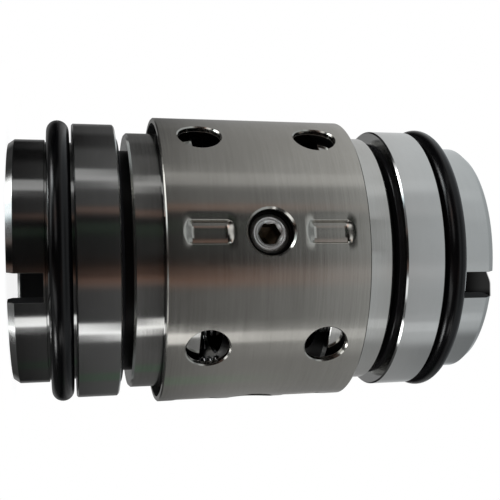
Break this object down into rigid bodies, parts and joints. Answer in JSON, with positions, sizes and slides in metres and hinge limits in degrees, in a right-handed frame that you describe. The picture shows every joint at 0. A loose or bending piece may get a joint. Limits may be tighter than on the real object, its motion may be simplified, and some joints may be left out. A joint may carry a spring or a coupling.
{
  "type": "double mechanical seal",
  "caption": "Back-to-back shaft seal: sprung rotary faces each side of a drive collar under a dimpled retainer sleeve, with a stationary seat and O-ring at each end.",
  "frame": {"origin": "on the shaft axis, at the end of the lower seat that the unit stands on", "axes": "+Z along the shaft axis from the lower seat to the upper seat; -Y through the anti-rotation slots of both seats"},
  "size_m": [0.061, 0.061, 0.098],
  "materials": {
    "brushed_sleeve": "brushed",
    "turned_steel": "satin",
    "seat_steel": "polished",
    "set_screw": "satin",
    "spring_wire": "satin",
    "carbon_face": "satin",
    "hard_face": "polished",
    "o_ring": "gloss"
  },
  "bodies": {
    "drive_unit": {"retainer_sleeve": "brushed_sleeve", "drive_collar": "turned_steel", "lower_springs": "spring_wire", "upper_springs": "spring_wire"},
    "set_screw_1": {"set_screw_1": "set_screw"},
    "set_screw_2": {"set_screw_2": "set_screw"},
    "set_screw_3": {"set_screw_3": "set_screw"},
    "set_screw_4": {"set_screw_4": "set_screw"},
    "lower_face": {"lower_rotary_ring": "turned_steel", "lower_face_insert": "carbon_face", "lower_thrust_ring": "turned_steel", "lower_shaft_o_ring": "o_ring"},
    "lower_seat": {"lower_seat_ring": "seat_steel", "lower_seat_face": "hard_face", "lower_seat_o_ring": "o_ring"},
    "upper_face": {"upper_rotary_ring": "turned_steel", "upper_face_insert": "carbon_face", "upper_thrust_ring": "turned_steel", "upper_shaft_o_ring": "o_ring"},
    "upper_seat": {"upper_seat_ring": "seat_steel", "upper_seat_face": "hard_face", "upper_seat_o_ring": "o_ring"}
  },
  "joints": [
    {"name": "lower_face_travel", "type": "slide", "parent": "drive_unit", "child": "lower_face", "axis": [0, 0, 1], "range_m": [0, 0.0025], "stiffness_N_per_m": 43000, "springref_m": -0.0005, "deforming": ["lower_springs"]},
    {"name": "lower_seat_turn", "type": "hinge", "parent": "lower_face", "child": "lower_seat", "pos_m": [0, 0, 0.0215], "axis": [0, 0, 1], "continuous": true},
    {"name": "upper_face_travel", "type": "slide", "parent": "drive_unit", "child": "upper_face", "axis": [0, 0, -1], "range_m": [0, 0.0025], "stiffness_N_per_m": 43000, "springref_m": -0.0005, "deforming": ["upper_springs"]},
    {"name": "upper_seat_turn", "type": "hinge", "parent": "upper_face", "child": "upper_seat", "pos_m": [0, 0, 0.0765], "axis": [0, 0, 1], "continuous": true},
    {"name": "set_screw_1_travel", "type": "slide", "parent": "drive_unit", "child": "set_screw_1", "axis": [-0.3811, -0.9245, 0], "range_m": [-0.00035, 0.0018]},
    {"name": "set_screw_2_travel", "type": "slide", "parent": "drive_unit", "child": "set_screw_2", "axis": [0.9245, -0.3811, 0], "range_m": [-0.00035, 0.0018]},
    {"name": "set_screw_3_travel", "type": "slide", "parent": "drive_unit", "child": "set_screw_3", "axis": [0.3811, 0.9245, 0], "range_m": [-0.00035, 0.0018]},
    {"name": "set_screw_4_travel", "type": "slide", "parent": "drive_unit", "child": "set_screw_4", "axis": [-0.9245, 0.3811, 0], "range_m": [-0.00035, 0.0018]}
  ]
}
